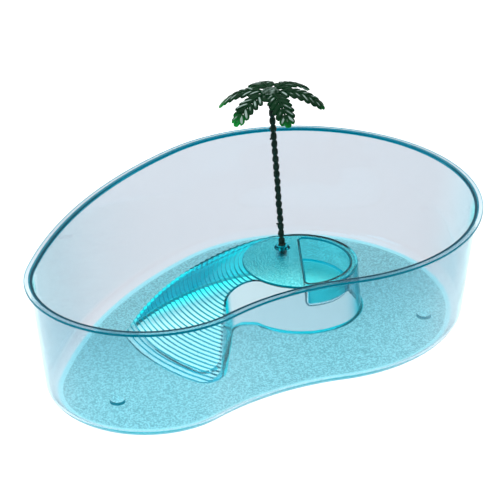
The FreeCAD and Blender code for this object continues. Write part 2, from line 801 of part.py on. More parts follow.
def beyond_bend(body, name, radius, level):
    """The section between an arc of the bend and a straight line above or below the frond."""
    sketch = new_sketch(body, name, "XZ_Plane")
    start, end, centre = bend_arc(radius, "-leaflet_pitch", "frond_reach + 1")
    flat = value(level)
    closed_loop(sketch, [
        (start, end, centre, False),
        (end, point_at(end.x, flat)),
        (point_at(end.x, flat), point_at(start.x, flat)),
        (point_at(start.x, flat), start),
    ])
    place_point(sketch, 0, 3, "frond_crest_reach", "frond_crest_height - frond_bend_radius")
    dimension(sketch, "Radius", (0,), radius)
    place_point(sketch, 1, 2, "frond_reach + 1", level)
    dimension(sketch, "DistanceX", (2, 2, -1, 1), "leaflet_pitch")
    return sketch


def rib_section(body):
    """The midrib's side view, half sunk in the frond."""
    sketch = new_sketch(body, "RibSection", "XZ_Plane")
    over, under = "frond_bend_radius + rib_height", "frond_bend_radius - frond_thickness / 2"
    rib_end = "frond_reach - tip_half_width"
    high_start, high_end, centre = bend_arc(over, "hub_foot_radius", rib_end)
    low_start, low_end, _ = bend_arc(under, "hub_foot_radius", rib_end)
    closed_loop(sketch, [
        (high_end, high_start, centre, True),
        (high_start, low_start),
        (low_start, low_end, centre, False),
        (low_end, high_end),
    ])
    sketch.addConstraint(Sketcher.Constraint("Coincident", 0, 3, 2, 3))
    place_point(sketch, 0, 3, "frond_crest_reach", "frond_crest_height - frond_bend_radius")
    dimension(sketch, "Radius", (0,), over)
    dimension(sketch, "Radius", (2,), under)
    dimension(sketch, "DistanceX", (-1, 1, 1, 1), "hub_foot_radius")
    dimension(sketch, "DistanceX", (-1, 1, 3, 1), rib_end)
    return sketch


def hub_section(body):
    """Half of the hub: a flared foot under a dome."""
    sketch = new_sketch(body, "HubSection", "XZ_Plane")
    foot_radius, radius = value("hub_foot_radius"), value("hub_radius")
    waist, height = value("hub_waist_height"), value("hub_height")
    drop = height - waist
    dome = (radius ** 2 + drop ** 2) / (2 * drop)
    closed_loop(sketch, [
        (point_at(0, 0), point_at(foot_radius, 0)),
        (point_at(foot_radius, 0), point_at(radius, waist)),
        (point_at(radius, waist), point_at(0, height), point_at(0, height - dome), True),
        (point_at(0, height), point_at(0, 0)),
    ])
    place_point(sketch, 0, 1, "0", "0")
    dimension(sketch, "DistanceX", (0, 1, 0, 2), "hub_foot_radius")
    place_point(sketch, 1, 2, "hub_radius", "hub_waist_height")
    dimension(sketch, "DistanceY", (-1, 1, 2, 2), "hub_height")
    dimension(sketch, "DistanceX", (-1, 1, 2, 3), "0")
    return sketch


def whole_turn(body, name, count):
    """Repeats the whole body about its upright axis."""
    pattern = body.newObject("PartDesign::PolarPattern", name)
    pattern.TransformMode = "Whole shape"
    pattern.Axis = (next(item for item in body.Origin.OriginFeatures if item.Role == "Z_Axis"), [""])
    pattern.Angle = 360
    bind(pattern, Occurrences=count)
    body.Tip = pattern
    doc.recompute()
    return pattern


crown = new_body("palm_crown")
prism_height = "2 * frond_bend_radius"
lobe_outline(crown, "TipOutline", "hub_foot_radius", "frond_reach - tip_half_width", "0", "rib_width / 2")
pad(crown, "Midrib", crown.Group[-1], prism_height)
tip = lobe_outline(
    crown, "TipLobeOutline", "frond_reach - 2 * tip_half_width", "frond_reach - tip_half_width", "0",
    "tip_half_width",
)
pad(crown, "TipLobe", tip, prism_height)
for number in range(int(value("leaflet_count"))):
    root_x = "first_leaflet + %d * leaflet_pitch" % number
    length = "leaflet_length * sqrt(1 - ((%d - (leaflet_count - 3) / 2) / (leaflet_count - 1.8))^2)" % number
    for side, sign in (("Left", ""), ("Right", "-")):
        outline = lobe_outline(
            crown, "%sLeaflet%dOutline" % (side, number + 1), root_x,
            "%s + %s * cos(leaflet_slant * 1deg)" % (root_x, length),
            "%s%s * sin(leaflet_slant * 1deg)" % (sign, length),
            "leaflet_half_width",
        )
        pad(crown, "%sLeaflet%d" % (side, number + 1), outline, prism_height)
for name, radius, level in (
    ("AboveFrond", "frond_bend_radius", "1.5 * frond_bend_radius"),
    ("BelowFrond", "frond_bend_radius - frond_thickness", "-1.5 * frond_bend_radius"),
):
    section = beyond_bend(crown, name, radius, level)
    pocket = crown.newObject("PartDesign::Pocket", name + "Cut")
    pocket.Profile = (section, [""])
    pocket.Midplane = True
    bind(pocket, Length="4 * leaflet_length")
    crown.Tip = pocket
    doc.recompute()
pad(crown, "Rib", rib_section(crown), "rib_width / 2", Midplane=True)
whole_turn(crown, "Fronds", "frond_count")
revolve(crown, "Revolution", "Hub", hub_section(crown))
bore = new_sketch(crown, "PegBoreOutline")
bore.addGeometry(Part.Circle(point_at(0, 0), FreeCAD.Vector(0, 0, 1), value("peg_radius + peg_clearance")))
bore.addConstraint(Sketcher.Constraint("Coincident", 0, 3, -1, 1))
dimension(bore, "Radius", (0,), "peg_radius + peg_clearance")
peg_bore = crown.newObject("PartDesign::Pocket", "PegBore")
peg_bore.Profile = (bore, [""])
peg_bore.Reversed = True
bind(peg_bore, Length="peg_length + plug_end_gap")
crown.Tip = peg_bore
doc.recompute()
placed_on_axis(crown, "trunk_length")
doc.recompute()

# Check everything, then write one file for each separate piece

for item in doc.Objects:
    if {"Invalid", "Error"} & set(item.State):
        raise RuntimeError("%s did not build" % item.Name)
    if hasattr(item, "Shape") and not item.TypeId.startswith("App::"):
        if item.Shape.isNull() or not item.Shape.isValid():
            raise RuntimeError("%s has no valid shape" % item.Name)

os.makedirs("parts", exist_ok=True)
for node in (tank, trunk, crown):
    node.Label = node.Name
    node.Shape.exportStep("parts/%s.step" % node.Name)
    print(node.Name, round(node.Shape.Volume), "mm3,", len(node.Shape.Solids), "solid")
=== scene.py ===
"""A clear turtle tank: a kidney-shaped basin with a stepped ramp, a food well and a plug-in palm.

Sizes are in millimetres in the tank's own frame: X along the tank, Z up, and the origin below
its middle.
"""

import math

import bmesh
import bpy
from mathutils import Matrix, Vector, noise


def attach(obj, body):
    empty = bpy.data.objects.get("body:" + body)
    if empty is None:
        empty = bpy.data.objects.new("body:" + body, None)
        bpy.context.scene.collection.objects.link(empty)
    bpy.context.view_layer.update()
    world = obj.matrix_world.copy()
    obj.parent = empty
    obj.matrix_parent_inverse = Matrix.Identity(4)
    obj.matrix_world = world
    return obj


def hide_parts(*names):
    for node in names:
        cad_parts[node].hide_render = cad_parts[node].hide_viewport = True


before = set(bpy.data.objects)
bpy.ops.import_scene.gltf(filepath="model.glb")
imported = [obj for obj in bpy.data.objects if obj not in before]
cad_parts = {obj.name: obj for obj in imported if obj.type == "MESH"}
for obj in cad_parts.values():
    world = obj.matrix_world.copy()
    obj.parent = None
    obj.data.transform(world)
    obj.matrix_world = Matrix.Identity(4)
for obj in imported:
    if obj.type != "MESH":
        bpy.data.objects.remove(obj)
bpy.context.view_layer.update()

MM = 0.001

# Rim outline: two lobes, a bulging back flank and a hollow front flank, all tangent
BIG_LOBE = 134.0
SMALL_LOBE = 84.0
LOBE_SPACING = 162.0
BACK_FLANK = 371.0
FRONT_HOLLOW = 174.0
BIG_LOBE_X = (LOBE_SPACING + SMALL_LOBE - BIG_LOBE) / 2
FACET_MARGIN = 0.05  # keeps the fine outline inside the solid's flat facets
BIG_LOBE_STEPS = 150
BACK_FLANK_STEPS = 64
SMALL_LOBE_STEPS = 84
FRONT_HOLLOW_STEPS = 60

# Basin wall
TANK_HEIGHT = 89.0
WALL = 2.0
DRAFT = math.radians(5.5)
RIM_OVERHANG = 4.0
RIM_THICKNESS = 1.8
RIM_EDGE = 0.5
RIM_BEND = 1.2
RIM_LINE = 1.8
RIM_LINE_DEPTH = 0.9
FLOOR_BEND = 9.0
FLOOR_INSET = 23.4

# Island
PLATFORM_HEIGHT = 38.5
PLATFORM_RADIUS = 43.3
PLATFORM_EDGE = 0.7
ISLAND_DRAFT = math.radians(5.0)
STEP_COUNT = 30
STEP_TREAD = 3.18
STEP_NOSE = 0.4
STEP_RISE = (PLATFORM_HEIGHT - WALL) / (STEP_COUNT + 1)
RAMP_REACH = PLATFORM_RADIUS + STEP_COUNT * STEP_TREAD
RAMP_BACK = 136.8
RAMP_BACK_BEARING = math.radians(223.0)
RAMP_FRONT_DISTANCE = 49.3
RAMP_FRONT_BEARING = math.radians(38.1)
RAMP_CORNER = 12.0
RAMP_NOTCH = 13.5
FOOT_FLARE = 1.8
FOOT_SUNK = 0.03  # starts the flare just below the floor, so that the two cross cleanly
HOLLOW_END_GAP = 10.0
RAMP_BACK_STEPS = 48
RAMP_CORNER_STEPS = 14
RAMP_END_STEPS = 24
RAMP_FRONT_STEPS = 12
NOTCH_STEPS = 24
PLATFORM_STEPS = 90
STAIR_SIDES = 300
CEILING_SIDES = 240

# Food well
WELL_RADIUS = 37.0
WELL_SIDE = 2.0
WELL_BEARING = math.radians(-45.0)
WELL_DEPTH = 18.5
WELL_DRAFT = math.radians(3.0)
WELL_CORNER = 3.5
WELL_BEND = 2.0
WELL_LIP = 1.1
WELL_ARC_STEPS = 60
WELL_CORNER_STEPS = 10

# Palm socket, measured from the platform's centre
SOCKET = (6.25, 23.5)
COLLAR_RADIUS = 6.5
COLLAR_TOP_RADIUS = 4.6
COLLAR_HEIGHT = 2.0
SOCKET_DEPTH = 10.0
BORE_RADIUS = 2.35
PLUG_RADIUS = 2.2
PLUG_GAP = 0.5
SOCKET_SIDES = 32
TUBE_BEVEL = 1.0

PLATFORM_CENTRE = Vector((BIG_LOBE_X, 0))
SOCKET_CENTRE = PLATFORM_CENTRE + Vector(SOCKET)

# Pips on the basin floor, with their centres measured from the platform's centre
PIPS = ((-193.0, 0.0), (47.0, -82.0), (47.0, 82.0))
PIP_RADIUS = 5.6
PIP_HEIGHT = 2.5

# Discs, which are the collar and the pips
DISC_SIDES = 48
DISC_SUNK = 1.0  # how far a disc reaches into what it stands on

# Solids that only cut or trim others: how far they reach past them, and their lowest levels
BODY_SUNK = 1.0
BODY_ABOVE = 3.0
CUT_ABOVE = 2.0
TOOL_MARGIN = 20.0
LIP_MARGIN = 0.2
STAIRS_BASE = -5.0
HOLLOW_BASE = -1.0

# Palm
TRUNK_LENGTH = 119.5
TRUNK_LEAN = math.radians(4.3)
TRUNK_LEAN_BEARING = math.radians(132.0)
CORE_RADIUS = 1.6
BEAD_RADIUS = 2.4
BEAD_PITCH = 6.18
BEAD_COUNT = 19
FIRST_BEAD = 4.0
BEAD_ROWS = 16
BEAD_SHARE = 0.87  # of the pitch, the rest of which is bare core
BEAD_STRETCH = 1.15
BEAD_FULLNESS = 0.6
BEAD_WANDER = 0.28
WANDER_PACE = 0.31
WANDER_SEED = 1  # unseeded, the beads would wander differently in each run
BEAD_ROUGHNESS = 0.12
ROUGH_PACE = 0.9
ROUGH_PACE_UP = 0.55
PEG_RADIUS = 1.4
PEG_END_RADIUS = 1.0
PEG_SUNK = 0.6
PEG_LENGTH = 5.0
PEG_SHOULDER = 4.6
NUB_RADIUS = 0.75
NUB_REACH = 2.5
NUB_BEARING = math.radians(132.0)
NUB_HEIGHTS = (18.0, 88.0, 96.5)
TRUNK_SIDES = 24
TRUNK_FOOT_RADIUS = 3.0
HUB_RADIUS = 7.4
HUB_WAIST = 4.0
HUB_HEIGHT = 8.9
HUB_FOOT = 3.6
HUB_SIDES = 60
HUB_FLUTES = 6
# HUB_CREST, RIB_CREST, CREST_UNEVENNESS and TIP_CREST set how strong the painted highlight is on
# each crest
HUB_CREST = 0.65
FROND_COUNT = 6
FROND_CREST_REACH = 12.0
FROND_CREST_HEIGHT = 7.0
FROND_BEND = 35.5
FROND_REACH = 39.5
FROND_MIDDLE = 0.7  # how far the middle surface lies under the bend's radius
FROND_DROOP = 0.012
RIB_ROWS = 24
RIB_SIDES = 12
RIB_HALF_WIDTH = 1.25
RIB_HEIGHT = 1.55
RIB_TAPER = 0.55
RIB_CREST = 0.3
LEAFLET_COUNT = 6
LEAFLET_PITCH = 5.0
FIRST_LEAFLET = 8.0
LEAFLET_SLANT = math.radians(48.0)
LEAFLET_HALF_WIDTH = 2.1
LEAFLET_LENGTH = 10.0
LEAFLET_ROWS = 12
LEAFLET_SIDES = 14
LEAFLET_CROWN = 1.35
LEAFLET_DIP = 0.28  # the shallow hollow along a leaflet's crest
DIP_SHARPNESS = 6
LEAFLET_FULLNESS = 0.90
LEAFLET_SWELL = 0.16
LEAFLET_ROOT = 0.4
ROOT_ASIDE = 0.2
LEAFLET_OVERRUN = 1.2
LEAFLET_BLUNTNESS = 0.3
LEAFLET_TIP_SHARE = 0.06
LENGTH_UNEVENNESS = 0.08
SLANT_UNEVENNESS = 0.10
CREST_UNEVENNESS = 0.9
FROND_UNDERSIDE = 0.7
TIP_HALF_WIDTH = 3.0
TIP_CROWN = 1.5
TIP_ROWS = 16
TIP_OVERLAP = 1.5
TIP_CREST = 0.7
CREST_SHARPNESS = 9


# Plane geometry

def polar(radius, bearing):
    return Vector((radius * math.cos(bearing), radius * math.sin(bearing)))


def bearing_of(point, centre):
    return math.atan2(point.y - centre.y, point.x - centre.x)


def crossing(first, first_radius, second, second_radius, side):
    """Where two circles cross, left (1) or right (-1) of the way from the first to the second."""
    across = second - first
    spacing = across.length
    along = (spacing ** 2 + first_radius ** 2 - second_radius ** 2) / (2 * spacing)
    aside = side * math.sqrt(first_radius ** 2 - along ** 2)
    ahead = across.normalized()
    return first + ahead * along + Vector((-ahead.y, ahead.x)) * aside


def touch(first, first_radius, second, second_radius):
    """Where two tangent circles touch."""
    if first_radius < second_radius:
        first, first_radius, second = second, second_radius, first
    return first + (second - first).normalized() * first_radius


def arc(centre, start, end, left, count):
    """Points along an arc from start up to, but not including, end."""
    radius = (start - centre).length
    begin = bearing_of(start, centre)
    sweep = (bearing_of(end, centre) - begin) % math.tau
    if not left:
        sweep -= math.tau
    return [centre + polar(radius, begin + sweep * step / count) for step in range(count)]


def kidney(inset):
    """The basin's outline, this far inside the rim's, always with the same number of points."""
    inset += FACET_MARGIN
    big, small = BIG_LOBE - inset, SMALL_LOBE - inset
    back, front = BACK_FLANK - inset, FRONT_HOLLOW + inset
    big_centre = Vector((BIG_LOBE_X, 0))
    small_centre = Vector((BIG_LOBE_X - LOBE_SPACING, 0))
    back_centre = crossing(big_centre, back - big, small_centre, back - small, 1)
    front_centre = crossing(big_centre, front + big, small_centre, front + small, 1)
    big_back = touch(big_centre, big, back_centre, back)
    back_small = touch(back_centre, back, small_centre, small)
    small_front = touch(small_centre, small, front_centre, front)
    front_big = touch(front_centre, front, big_centre, big)
    return (
        arc(big_centre, front_big, big_back, True, BIG_LOBE_STEPS)
        + arc(back_centre, big_back, back_small, True, BACK_FLANK_STEPS)
        + arc(small_centre, back_small, small_front, True, SMALL_LOBE_STEPS)
        + arc(front_centre, small_front, front_big, False, FRONT_HOLLOW_STEPS)
    )


def island_outline(inset, end_inset):
    """The plan of platform and ramp about the platform's centre, moved inwards."""
    foot_radius = PLATFORM_RADIUS + (PLATFORM_HEIGHT - WALL) * math.tan(ISLAND_DRAFT)
    back, corner, end = RAMP_BACK - inset, RAMP_CORNER - inset, RAMP_REACH - end_inset
    notch, platform = RAMP_NOTCH + inset, foot_radius - inset
    origin = Vector((0, 0))
    back_centre = polar(RAMP_BACK - foot_radius, RAMP_BACK_BEARING)
    ahead = polar(1, RAMP_FRONT_BEARING)
    outward = Vector((ahead.y, -ahead.x))
    front = -(RAMP_FRONT_DISTANCE + inset)

    def beside_front(offset, reach):
        aside = front + offset
        return outward * aside - ahead * math.sqrt(reach ** 2 - aside ** 2)

    back_corner = crossing(back_centre, back - corner, origin, end - corner, 1)
    front_corner = beside_front(-corner, end - corner)
    notch_centre = beside_front(notch, platform + notch)
    platform_back = touch(back_centre, back, origin, platform)
    back_start = touch(back_centre, back, back_corner, corner)
    back_stop = touch(origin, end, back_corner, corner)
    front_start = touch(origin, end, front_corner, corner)
    front_stop = front_corner + outward * corner
    notch_start = notch_centre - outward * notch
    notch_stop = touch(origin, platform, notch_centre, notch)
    steps = range(RAMP_FRONT_STEPS)
    line = [front_stop.lerp(notch_start, step / RAMP_FRONT_STEPS) for step in steps]
    points = (
        arc(back_centre, platform_back, back_start, True, RAMP_BACK_STEPS)
        + arc(back_corner, back_start, back_stop, True, RAMP_CORNER_STEPS)
        + arc(origin, back_stop, front_start, True, RAMP_END_STEPS)
        + arc(front_corner, front_start, front_stop, True, RAMP_CORNER_STEPS)
        + line
        + arc(notch_centre, notch_start, notch_stop, False, NOTCH_STEPS)
        + arc(origin, notch_stop, platform_back, True, PLATFORM_STEPS)
    )
    return [point + Vector((BIG_LOBE_X, 0)) for point in points]


def well_outline(inset):
    """The D of the food well, moved inwards."""
    radius, corner, side = WELL_RADIUS - inset, WELL_CORNER - inset, WELL_SIDE + inset
    origin = Vector((0, 0))
    reach = math.sqrt((radius - corner) ** 2 - (side + corner) ** 2)
    high, low = Vector((side + corner, reach)), Vector((side + corner, -reach))
    arc_high = touch(origin, radius, high, corner)
    arc_low = touch(origin, radius, low, corner)
    points = (
        arc(origin, arc_low, arc_high, True, WELL_ARC_STEPS)
        + arc(high, arc_high, Vector((side, reach)), True, WELL_CORNER_STEPS)
        + arc(low, Vector((side, -reach)), arc_low, True, WELL_CORNER_STEPS)
    )
    turn = Matrix.Rotation(WELL_BEARING, 2)
    return [turn @ point + Vector((BIG_LOBE_X, 0)) for point in points]


def circle(radius, centre, count):
    return [centre + polar(radius, math.tau * step / count) for step in range(count)]


def quarter_turn(degrees):
    """The angles of a quarter turn, in steps of so many degrees."""
    return [math.radians(turn) for turn in range(0, 91, degrees)]


# Mesh building

def skin(rings):
    """Points and faces of a closed form through rings of the same number of points."""
    count = len(rings[0])
    points = [point for ring in rings for point in ring]
    faces = [tuple(reversed(range(count)))]
    for low in range(0, len(points) - count, count):
        for step in range(count):
            after = (step + 1) % count
            high = low + count
            faces.append((low + step, low + after, high + after, high + step))
    faces.append(tuple(range(len(points) - count, len(points))))
    return points, faces


def gathered(forms):
    """Several closed forms as the points and faces of one mesh."""
    points, faces = [], []
    for form_points, form_faces in forms:
        start = len(points)
        points += form_points
        faces += [tuple(start + corner for corner in face) for face in form_faces]
    return points, faces


def new_piece(name, points, faces):
    """A mesh object with all its faces turned outwards."""
    mesh = bpy.data.meshes.new(name)
    mesh.from_pydata(points, [], faces)
    bm = bmesh.new()
    bm.from_mesh(mesh)
    bmesh.ops.recalc_face_normals(bm, faces=bm.faces)
    bm.to_mesh(mesh)
    bm.free()
    piece = bpy.data.objects.new(name, mesh)
    bpy.context.scene.collection.objects.link(piece)
    return piece


def stacked(name, rings, marks=None):
    """A closed solid through level rings of (points, height).

    The marks say, for the bottom, each band and the top in turn, what the surface there is.
    """
    in_place = [[Vector((x, y, height)) for x, y in points] for points, height in rings]
    piece = new_piece(name, *skin(in_place))
    count = len(rings[0][0])
    marks = marks or [""] * (len(rings) + 1)
    by_face = [marks[0]] + [mark for mark in marks[1:-1] for _ in range(count)] + [marks[-1]]
    for kind in SURFACES:
        layer = piece.data.attributes.new(kind, "FLOAT", "FACE")
        layer.data.foreach_set("value", [float(kind in mark) for mark in by_face])
    return piece


def turned(name, profile, centre, count, marks=None):
    """A solid turned about an upright axis, from (radius, height) points."""
    rings = [(circle(radius, centre, count), height) for radius, height in profile]
    return stacked(name, rings, marks)


def carve(piece, tool, operation):
    """Joins, cuts or keeps the overlap with another solid, which is used up."""
    cut = piece.modifiers.new("Cut", "BOOLEAN")
    cut.operation = operation
    cut.solver = "EXACT"
    cut.object = tool
    settle(piece)
    bpy.data.objects.remove(tool)


def settle(piece):
    """Turns the modifiers into mesh."""
    bpy.context.view_layer.update()
    evaluated = piece.evaluated_get(bpy.context.evaluated_depsgraph_get())
    made = bpy.data.meshes.new_from_object(evaluated)
    piece.modifiers.clear()
    piece.data = made


def finished(piece, sharp):
    """Smooth shading up to an angle in degrees, and the size in metres."""
    piece.data.transform(Matrix.Scale(MM, 4))
    piece.data.shade_smooth()
    piece.data.set_sharp_from_angle(angle=math.radians(sharp))
    weighted = piece.modifiers.new("Even shading", "WEIGHTED_NORMAL")
    weighted.keep_sharp = True
    settle(piece)
    return piece


# Tank

# What a face of the tank is: a moulded edge painted with dark shade, a finer line painted with teal
# shade, a stippled surface, a tread of the ramp, part of the food well, a side of the island, the
# outside of the basin's foot, a deep cyan fold (at the island's foot, on the collar and in the
# socket), an underside in the hollow
SURFACES = ("edge", "line", "stipple", "tread", "well", "side", "foot", "fold", "under")


def profile_arc(centre, radius, begin, end, count):
    """Points of an arc in a section, with both of its ends, from angles in degrees."""
    angles = [math.radians(begin + (end - begin) * step / count) for step in range(count + 1)]
    across, up = centre
    return [(across + radius * math.cos(a), up + radius * math.sin(a)) for a in angles]


def along_line(start, end, count):
    """Points between two ends, without the ends."""
    return [tuple(start.lerp(end, step / count)) for step in range(1, count)]


def basin():
    """The wall's section all round, from under the middle, over the rim and down to the floor."""
    slope = math.degrees(DRAFT)
    down = Vector((math.sin(DRAFT), -math.cos(DRAFT)))
    inwards = Vector((math.cos(DRAFT), math.sin(DRAFT)))
    rim_underside = TANK_HEIGHT - RIM_THICKNESS
    under_rim = Vector((RIM_OVERHANG + RIM_THICKNESS * math.tan(DRAFT), rim_underside))

    def on_face(offset, level):
        start = under_rim + inwards * offset
        return start + down * ((start.y - level) / math.cos(DRAFT))

    outer = FLOOR_BEND + WALL
    foot = on_face(outer, outer)
    bend = on_face(WALL - RIM_BEND, TANK_HEIGHT - RIM_BEND)
    rim_low = rim_underside + RIM_EDGE
    sections = (
        ([(FLOOR_INSET, 0.0)] + profile_arc(foot, outer, 270, 250, 3), ""),
        (profile_arc(foot, outer, 250, 218, 5)[1:], "foot"),
        (profile_arc(foot, outer, 218, 180 + slope, 5)[1:], ""),
        (along_line(foot - inwards * outer, under_rim, 8) + [tuple(under_rim)], ""),
        (
            profile_arc((RIM_EDGE, rim_low), RIM_EDGE, 270, 180, 3)
            + profile_arc((RIM_EDGE, TANK_HEIGHT - RIM_EDGE), RIM_EDGE, 180, 90, 3),
            "line",
        ),
        (
            [(bend.x - RIM_LINE, TANK_HEIGHT)]
            + profile_arc(bend, RIM_BEND, 90, slope, 6)
            + [tuple(bend + inwards * RIM_BEND + down * RIM_LINE_DEPTH)],
            "edge",
        ),
        (along_line(bend + inwards * RIM_BEND, foot - inwards * FLOOR_BEND, 16), ""),
        (profile_arc(foot, FLOOR_BEND, 180 + slope, 270, 12) + [(FLOOR_INSET, WALL)], ""),
    )
    rings, marks = [], []
    for points, mark in sections:
        rings += [(kidney(inset), height) for inset, height in points]
        marks += [""] + [mark] * (len(points) - 1)
    return stacked("basin", rings, marks + ["stipple"])


def island_inset(level):
    """How far inside its foot the island's side is at a level."""
    return (level - WALL) * math.tan(ISLAND_DRAFT)


def stairs():
    """All that lies below the platform and the steps, turned about the platform's centre."""
    far = RAMP_REACH + TOOL_MARGIN
    level = WALL + STEP_RISE
    profile = [(far, STAIRS_BASE), (far, level)]
    marks = ["", "", "tread"]
    for step in range(STEP_COUNT, 0, -1):
        radius = PLATFORM_RADIUS + (step - 1) * STEP_TREAD
        nose = PLATFORM_EDGE if step == 1 else STEP_NOSE
        profile.append((radius, level))
        level += STEP_RISE
        profile += profile_arc((radius - nose, level - nose), nose, 0, 90, 3)
        marks += ["line"] * 4 + ["tread"]
    marks[-1] = "stipple"
    return turned("stairs", profile, PLATFORM_CENTRE, STAIR_SIDES, marks)


def island():
    """The drafted sides with a flared foot, kept only below the stairs."""
    rings = [(island_outline(-FOOT_FLARE, 0), WALL - BODY_SUNK)]
    for angle in quarter_turn(15):
        level = WALL - FOOT_SUNK + FOOT_FLARE * (1 - math.cos(angle))
        inset = island_inset(level) - FOOT_FLARE * (1 - math.sin(angle))
        rings.append((island_outline(inset, max(inset, 0)), level))
    top = PLATFORM_HEIGHT + BODY_ABOVE
    rings.append((island_outline(island_inset(top), island_inset(top)), top))
    body = stacked("island", rings, ["", ""] + ["side fold"] * 6 + ["side", ""])
    carve(body, stairs(), "INTERSECT")
    return body


def hollow():
    """The space under the island, round the outsides of the food well and the socket."""
    rings = []
    for level in (HOLLOW_BASE, PLATFORM_HEIGHT):
        inset = island_inset(level)
        rings.append((island_outline(inset + WALL, inset + HOLLOW_END_GAP), level))
    body = stacked("hollow", rings, ["side"] * 3)
    carve(body, ceiling(), "INTERSECT")
    carve(body, well_outside(), "DIFFERENCE")
    carve(body, tube(), "DIFFERENCE")
    return body


def ceiling():
    """All that lies below the hollow's ceiling, which slopes down under the ramp."""
    top = PLATFORM_HEIGHT - WALL
    crest = PLATFORM_RADIUS - STEP_TREAD
    slope = top / (RAMP_REACH - crest)
    far = RAMP_REACH + TOOL_MARGIN
    profile = [(far, -TOOL_MARGIN), (far, (RAMP_REACH - far) * slope), (crest, top)]
    marks = ["", "", "under", "under"]
    return turned("ceiling", profile, PLATFORM_CENTRE, CEILING_SIDES, marks)


def tube():
    """The outside of the palm's socket as it stands in the hollow."""
    low = PLATFORM_HEIGHT + COLLAR_HEIGHT - SOCKET_DEPTH - WALL
    radius = BORE_RADIUS + WALL
    profile = [
        (radius - TUBE_BEVEL, low),
        (radius, low + TUBE_BEVEL),
        (radius, PLATFORM_HEIGHT - WALL / 2),
    ]
    return turned("tube", profile, SOCKET_CENTRE, SOCKET_SIDES)


def well_foot(outset, bend, depth):
    """Level outlines from the well's floor up round its foot."""
    rings = []
    for angle in quarter_turn(15):
        level = PLATFORM_HEIGHT - depth + bend * (1 - math.cos(angle))
        drafted = (PLATFORM_HEIGHT - level) * math.tan(WELL_DRAFT)
        inset = drafted + outset + bend * (1 - math.sin(angle))
        rings.append((well_outline(inset), level))
    return rings


def well_outside():
    """The food well as it stands in the hollow."""
    rings = well_foot(-WALL, WELL_BEND + WALL, WELL_DEPTH + WALL)
    rings.append((well_outline(-WALL), PLATFORM_HEIGHT - WALL / 2))
    return stacked("well_outside", rings, ["under"] * (len(rings) + 1))


def well_inside():
    """The space in the food well, with a rounded lip at its mouth."""
    rings = well_foot(0.0, WELL_BEND, WELL_DEPTH)
    for angle in quarter_turn(30):
        level = PLATFORM_HEIGHT - WELL_LIP + WELL_LIP * math.sin(angle)
        rings.append((well_outline(-WELL_LIP * (1 - math.cos(angle))), level))
    rings.append((well_outline(-WELL_LIP - LIP_MARGIN), PLATFORM_HEIGHT + CUT_ABOVE))
    marks = ["well stipple"] + ["well line"] * 4 + ["well"] * 3 + ["line"] * 4 + [""]
    return stacked("well_inside", rings, marks)


def collar():
    """The low cone round the socket's mouth."""
    top = PLATFORM_HEIGHT + COLLAR_HEIGHT
    profile = [
        (COLLAR_RADIUS - 0.3, PLATFORM_HEIGHT - DISC_SUNK),
        (COLLAR_RADIUS - 0.3, PLATFORM_HEIGHT + 0.1),
        (COLLAR_RADIUS - 1.3, PLATFORM_HEIGHT + 0.8),
        (COLLAR_TOP_RADIUS, top - 0.3),
        (COLLAR_TOP_RADIUS - 0.4, top),
    ]
    marks = ["", "fold", "fold", "fold", "line", "fold"]
    return turned("collar", profile, SOCKET_CENTRE, DISC_SIDES, marks)


def bore():
    """The hole that takes the trunk's plug."""
    top = PLATFORM_HEIGHT + COLLAR_HEIGHT
    profile = [(BORE_RADIUS, top - SOCKET_DEPTH), (BORE_RADIUS, top + CUT_ABOVE)]
    return turned("bore", profile, SOCKET_CENTRE, SOCKET_SIDES, ["fold", "fold", ""])


def pip(centre):
    """A low round disc on the floor, with a rounded edge."""
    top = WALL + PIP_HEIGHT
    profile = [
        (PIP_RADIUS, WALL - DISC_SUNK),
        (PIP_RADIUS - 0.1, top - 0.9),
        (PIP_RADIUS - 0.4, top - 0.3),
        (PIP_RADIUS - 1.0, top),
    ]
    return turned("pip", profile, centre, DISC_SIDES, ["", "line", "line", "", "stipple"])


def tank():
    """Everything that is moulded in one, as a single closed solid."""
    body = basin()
    carve(body, island(), "UNION")
    carve(body, collar(), "UNION")
    for place in PIPS:
        carve(body, pip(PLATFORM_CENTRE + Vector(place)), "UNION")
    carve(body, hollow(), "DIFFERENCE")
    carve(body, well_inside(), "DIFFERENCE")
    carve(body, bore(), "DIFFERENCE")
    body.name = "clear_tank"
    return finished(body, 32)


# Palm

def trunk_stand():
    """From the leaning trunk's own axis, with its foot at zero, to the tank's frame."""
    across = Vector((-math.sin(TRUNK_LEAN_BEARING), math.cos(TRUNK_LEAN_BEARING), 0))
    foot = Vector((SOCKET_CENTRE.x, SOCKET_CENTRE.y, PLATFORM_HEIGHT + COLLAR_HEIGHT))
    return Matrix.Translation(foot) @ Matrix.Rotation(TRUNK_LEAN, 4, across)


def ring_at(centre, radius, count, flutes=0.0):
    """A level circle of points, with shallow flutes if wanted."""
    ring = []
    for step in range(count):
        angle = math.tau * step / count
        reach = radius * (1 + flutes * math.cos(HUB_FLUTES * angle))
        x = centre.x + reach * math.cos(angle)
        y = centre.y + reach * math.sin(angle)
        ring.append(Vector((x, y, centre.z)))
    return ring


def on_axis(height):
    """A point on the palm's own upright axis."""
    return Vector((0, 0, height))


def knob(centre, radius):
    """A small round bump."""
    rings = []
    for turn in range(-80, 81, 20):
        angle = math.radians(turn)
        middle = centre + on_axis(radius * math.sin(angle))
        rings.append(ring_at(middle, radius * math.cos(angle), 12))
    return skin(rings)


